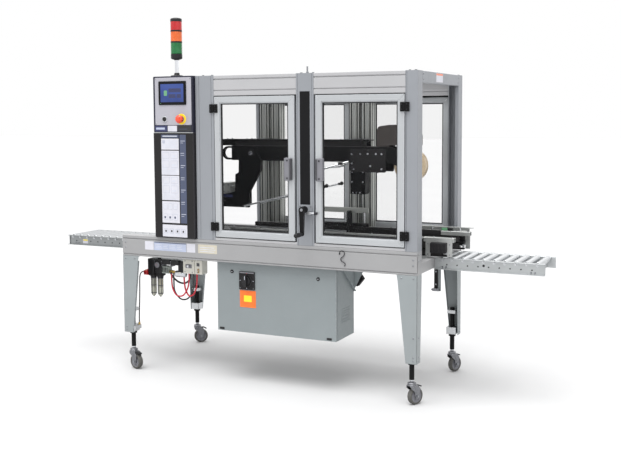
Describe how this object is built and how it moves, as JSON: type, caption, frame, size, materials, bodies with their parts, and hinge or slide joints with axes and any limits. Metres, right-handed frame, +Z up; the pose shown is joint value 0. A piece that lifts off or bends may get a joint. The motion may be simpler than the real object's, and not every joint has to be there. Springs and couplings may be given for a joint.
{
  "type": "carton sealer machine",
  "caption": "Floor-standing carton sealer: guarded frame with doors, height-adjustable top tape head, side belt drives, roller conveyors, operator panel with signal tower, on casters.",
  "frame": {"origin": "centre of the machine's footprint on the floor, between the infeed and exit conveyors' ends", "axes": "+X along the cartons' travel towards the exit, +Y from the operator's side towards the rear, +Z up"},
  "size_m": [3.433, 1.046, 2.313],
  "materials": {
    "frame_paint": "light grey semi-gloss powder coat with faint orange peel",
    "door_paint": "pale grey semi-gloss powder coat",
    "black_paint": "black semi-matt powder coat",
    "enclosure_paint": "grey fine-textured powder coat",
    "roller_steel": "bright zinc, finely turned",
    "bed_steel": "brushed along the carton's path",
    "fork_zinc": "bright zinc plate",
    "wheel_tread": "matt dark grey",
    "mast_aluminium": "dark anodised extrusion",
    "clear_pane": "clear polycarbonate",
    "red_plastic": "glossy red",
    "black_plastic": "satin black",
    "tower_plastic": "clear coloured lenses on a black base",
    "tape_roll": "clear brown tape wound on a card core",
    "red_hose": "smooth polyurethane tube",
    "black_hose": "smooth polyurethane tube"
  },
  "bodies": {
    "machine": {"base_frame": "frame_paint", "leg_front_left": "frame_paint", "leg_front_right": "frame_paint", "leg_rear_left": "frame_paint", "leg_rear_right": "frame_paint", "front_frame": "frame_paint", "rear_frame": "frame_paint", "header_left": "frame_paint", "header_right": "frame_paint", "control_column": "black_paint", "operator_box": "black_paint", "stack_light": "tower_plastic", "electrical_enclosure": "enclosure_paint", "infeed_frame": "bed_steel", "exit_frame": "bed_steel", "center_bed": "bed_steel", "bottom_tape_head": "black_paint", "mast_left": "mast_aluminium", "mast_right": "mast_aluminium", "air_unit": "black_plastic", "air_hose_red": "red_hose", "air_hose_black": "black_hose", "air_supply_hose": "black_hose"},
    "caster_front_left": {"caster_fork_front_left": "fork_zinc"},
    "wheel_front_left": {"caster_wheel_front_left": "wheel_tread"},
    "caster_front_right": {"caster_fork_front_right": "fork_zinc"},
    "wheel_front_right": {"caster_wheel_front_right": "wheel_tread"},
    "caster_rear_left": {"caster_fork_rear_left": "fork_zinc"},
    "wheel_rear_left": {"caster_wheel_rear_left": "wheel_tread"},
    "caster_rear_right": {"caster_fork_rear_right": "fork_zinc"},
    "wheel_rear_right": {"caster_wheel_rear_right": "wheel_tread"},
    "door_front_left": {"door_frame_front_left": "door_paint", "door_window_front_left": "clear_pane"},
    "door_front_right": {"door_frame_front_right": "door_paint", "door_window_front_right": "clear_pane"},
    "door_rear_left": {"door_frame_rear_left": "door_paint", "door_window_rear_left": "clear_pane"},
    "door_rear_right": {"door_frame_rear_right": "door_paint", "door_window_rear_right": "clear_pane"},
    "emergency_stop": {"emergency_stop": "red_plastic"},
    "push_button": {"push_button": "black_plastic"},
    "electrical_cover": {"electrical_cover": "enclosure_paint"},
    "disconnect_switch": {"disconnect_switch": "black_plastic"},
    "head": {"top_head": "black_paint"},
    "hand_crank": {"hand_crank": "black_paint"},
    "folder_arm": {"folder_arm": "black_paint"},
    "tape_reel": {"tape_reel": "tape_roll"},
    "side_drive_front": {"side_drive_front": "black_paint"},
    "side_drive_rear": {"side_drive_rear": "black_paint"},
    "infeed_roller_1": {"infeed_roller_1": "roller_steel"},
    "infeed_roller_2": {"infeed_roller_2": "roller_steel"},
    "infeed_roller_3": {"infeed_roller_3": "roller_steel"},
    "infeed_roller_4": {"infeed_roller_4": "roller_steel"},
    "infeed_roller_5": {"infeed_roller_5": "roller_steel"},
    "exit_roller_1": {"exit_roller_1": "roller_steel"},
    "exit_roller_2": {"exit_roller_2": "roller_steel"},
    "exit_roller_3": {"exit_roller_3": "roller_steel"},
    "exit_roller_4": {"exit_roller_4": "roller_steel"},
    "exit_roller_5": {"exit_roller_5": "roller_steel"}
  },
  "joints": [
    {"name": "caster_swivel_front_left", "type": "hinge", "parent": "machine", "child": "caster_front_left", "pos_m": [-0.9595, -0.341, 0.14], "axis": [0, 0, 1], "continuous": true},
    {"name": "wheel_spin_front_left", "type": "hinge", "parent": "caster_front_left", "child": "wheel_front_left", "pos_m": [-0.93439, -0.34773, 0.05], "axis": [0.2588, 0.9659, 0], "continuous": true},
    {"name": "caster_swivel_front_right", "type": "hinge", "parent": "machine", "child": "caster_front_right", "pos_m": [1.0125, -0.341, 0.14], "axis": [0, 0, 1], "continuous": true},
    {"name": "wheel_spin_front_right", "type": "hinge", "parent": "caster_front_right", "child": "wheel_front_right", "pos_m": [1.02471, -0.31804, 0.05], "axis": [-0.8829, 0.4695, 0], "continuous": true},
    {"name": "caster_swivel_rear_left", "type": "hinge", "parent": "machine", "child": "caster_rear_left", "pos_m": [-0.9595, 0.449, 0.14], "axis": [0, 0, 1], "continuous": true},
    {"name": "wheel_spin_rear_left", "type": "hinge", "parent": "caster_rear_left", "child": "wheel_rear_left", "pos_m": [-0.93958, 0.46571, 0.05], "axis": [-0.6428, 0.766, 0], "continuous": true},
    {"name": "caster_swivel_rear_right", "type": "hinge", "parent": "machine", "child": "caster_rear_right", "pos_m": [1.0125, 0.449, 0.14], "axis": [0, 0, 1], "continuous": true},
    {"name": "wheel_spin_rear_right", "type": "hinge", "parent": "caster_rear_right", "child": "wheel_rear_right", "pos_m": [1.02307, 0.47275, 0.05], "axis": [-0.9135, 0.4067, 0], "continuous": true},
    {"name": "door_swing_front_left", "type": "hinge", "parent": "machine", "child": "door_front_left", "pos_m": [-0.281, -0.391, 1.363], "axis": [0, 0, -1], "range_deg": [0, 105]},
    {"name": "door_swing_front_right", "type": "hinge", "parent": "machine", "child": "door_front_right", "pos_m": [0.9795, -0.391, 1.363], "axis": [0, 0, 1], "range_deg": [0, 105]},
    {"name": "door_swing_rear_left", "type": "hinge", "parent": "machine", "child": "door_rear_left", "pos_m": [-0.281, 0.499, 1.363], "axis": [0, 0, 1], "range_deg": [0, 105]},
    {"name": "door_swing_rear_right", "type": "hinge", "parent": "machine", "child": "door_rear_right", "pos_m": [0.9795, 0.499, 1.363], "axis": [0, 0, -1], "range_deg": [0, 105]},
    {"name": "emergency_stop_push", "type": "slide", "parent": "machine", "child": "emergency_stop", "axis": [0, 1, 0], "range_m": [0, 0.006], "stiffness_N_per_m": 1500, "springref_m": -0.002},
    {"name": "push_button_press", "type": "slide", "parent": "machine", "child": "push_button", "axis": [0, 1, 0], "range_m": [0, 0.003], "stiffness_N_per_m": 800, "springref_m": -0.001},
    {"name": "electrical_cover_drop", "type": "hinge", "parent": "machine", "child": "electrical_cover", "pos_m": [0.115, -0.339, 0.322], "axis": [1, 0, 0], "range_deg": [0, 80]},
    {"name": "disconnect_turn", "type": "hinge", "parent": "electrical_cover", "child": "disconnect_switch", "pos_m": [-0.0805, -0.35, 0.655], "axis": [0, -1, 0], "range_deg": [0, 90]},
    {"name": "head_lift", "type": "slide", "parent": "machine", "child": "head", "axis": [0, 0, 1], "range_m": [-0.2, 0.25]},
    {"name": "hand_crank_turn", "type": "hinge", "parent": "machine", "child": "hand_crank", "pos_m": [0.3505, -0.4, 1.126], "axis": [0, 1, 0], "range_deg": [-1500, 1900]},
    {"name": "folder_arm_swing", "type": "hinge", "parent": "head", "child": "folder_arm", "pos_m": [-0.2395, 0.09, 1.441], "axis": [0, -1, 0], "range_deg": [0, 50]},
    {"name": "tape_reel_spin", "type": "hinge", "parent": "head", "child": "tape_reel", "pos_m": [0.8505, 0.09, 1.375], "axis": [0, 1, 0], "continuous": true},
    {"name": "side_drive_width", "type": "slide", "parent": "machine", "child": "side_drive_front", "axis": [0, 1, 0], "range_m": [-0.045, 0.055]},
    {"name": "side_drive_width_rear", "type": "slide", "parent": "machine", "child": "side_drive_rear", "axis": [0, -1, 0], "range_m": [-0.045, 0.055]},
    {"name": "infeed_roller_spin_1", "type": "hinge", "parent": "machine", "child": "infeed_roller_1", "pos_m": [-1.621, 0.09, 0.82], "axis": [0, 1, 0], "continuous": true},
    {"name": "infeed_roller_spin_2", "type": "hinge", "parent": "machine", "child": "infeed_roller_2", "pos_m": [-1.494, 0.09, 0.82], "axis": [0, 1, 0], "continuous": true},
    {"name": "infeed_roller_spin_3", "type": "hinge", "parent": "machine", "child": "infeed_roller_3", "pos_m": [-1.367, 0.09, 0.82], "axis": [0, 1, 0], "continuous": true},
    {"name": "infeed_roller_spin_4", "type": "hinge", "parent": "machine", "child": "infeed_roller_4", "pos_m": [-1.24, 0.09, 0.82], "axis": [0, 1, 0], "continuous": true},
    {"name": "infeed_roller_spin_5", "type": "hinge", "parent": "machine", "child": "infeed_roller_5", "pos_m": [-1.113, 0.09, 0.82], "axis": [0, 1, 0], "continuous": true},
    {"name": "exit_roller_spin_1", "type": "hinge", "parent": "machine", "child": "exit_roller_1", "pos_m": [1.164, 0.09, 0.82], "axis": [0, 1, 0], "continuous": true},
    {"name": "exit_roller_spin_2", "type": "hinge", "parent": "machine", "child": "exit_roller_2", "pos_m": [1.291, 0.09, 0.82], "axis": [0, 1, 0], "continuous": true},
    {"name": "exit_roller_spin_3", "type": "hinge", "parent": "machine", "child": "exit_roller_3", "pos_m": [1.418, 0.09, 0.82], "axis": [0, 1, 0], "continuous": true},
    {"name": "exit_roller_spin_4", "type": "hinge", "parent": "machine", "child": "exit_roller_4", "pos_m": [1.545, 0.09, 0.82], "axis": [0, 1, 0], "continuous": true},
    {"name": "exit_roller_spin_5", "type": "hinge", "parent": "machine", "child": "exit_roller_5", "pos_m": [1.672, 0.09, 0.82], "axis": [0, 1, 0], "continuous": true}
  ],
  "couplings": [
    {"joint": "hand_crank_turn", "follows": "head_lift", "rad_per_m": 125.66},
    {"joint": "side_drive_width_rear", "follows": "side_drive_width", "ratio": 1}
  ]
}
